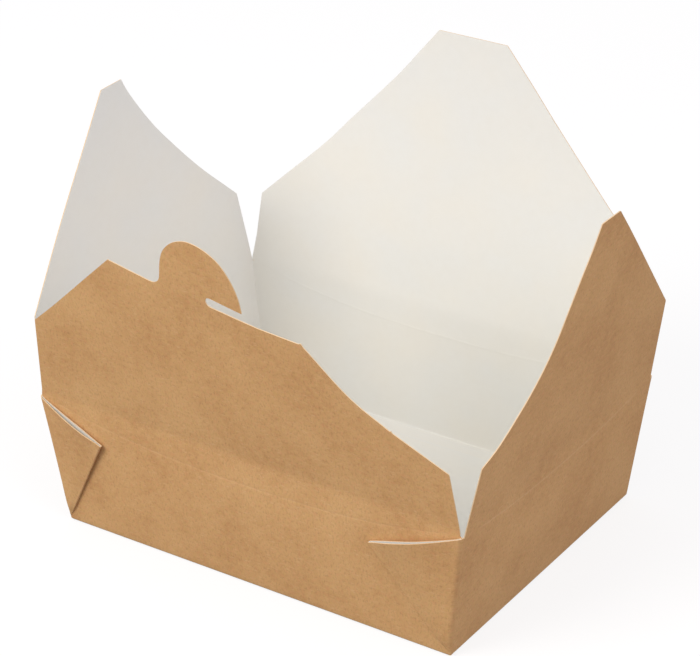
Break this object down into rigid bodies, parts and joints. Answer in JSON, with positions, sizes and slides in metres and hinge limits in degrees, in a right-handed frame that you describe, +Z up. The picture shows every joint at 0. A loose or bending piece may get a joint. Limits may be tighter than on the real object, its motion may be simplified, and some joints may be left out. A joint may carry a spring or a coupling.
{
  "type": "takeaway box",
  "caption": "Folded kraft paperboard takeaway box, white inside, with corner webs folded outside and hinged lid flaps standing open, one with a hook tab.",
  "frame": {"origin": "centre of the underside, on the surface that the box stands on", "axes": "+Z up, X along the length with the end flaps at +X and -X, -Y towards the front wall whose flap has the hook"},
  "size_m": [0.2464, 0.1814, 0.1935],
  "materials": {
    "kraft_board": "matte, with a white coated inner face"
  },
  "bodies": {
    "tray": {"tray": "kraft_board"},
    "front_flap": {"front_flap": "kraft_board"},
    "back_flap": {"back_flap": "kraft_board"},
    "left_flap": {"left_flap": "kraft_board"},
    "right_flap": {"right_flap": "kraft_board"}
  },
  "joints": [
    {"name": "front_crease", "type": "hinge", "parent": "tray", "child": "front_flap", "pos_m": [0, -0.07782, 0.06275], "axis": [-1, 0, 0], "range_deg": [-80, 97.6]},
    {"name": "back_crease", "type": "hinge", "parent": "tray", "child": "back_flap", "pos_m": [0, 0.07777, 0.062], "axis": [1, 0, 0], "range_deg": [-80, 95]},
    {"name": "left_crease", "type": "hinge", "parent": "tray", "child": "left_flap", "pos_m": [-0.10647, 0, 0.06125], "axis": [0, 1, 0], "range_deg": [-80, 98.3]},
    {"name": "right_crease", "type": "hinge", "parent": "tray", "child": "right_flap", "pos_m": [0.10647, 0, 0.06125], "axis": [0, -1, 0], "range_deg": [-80, 99.4]}
  ]
}
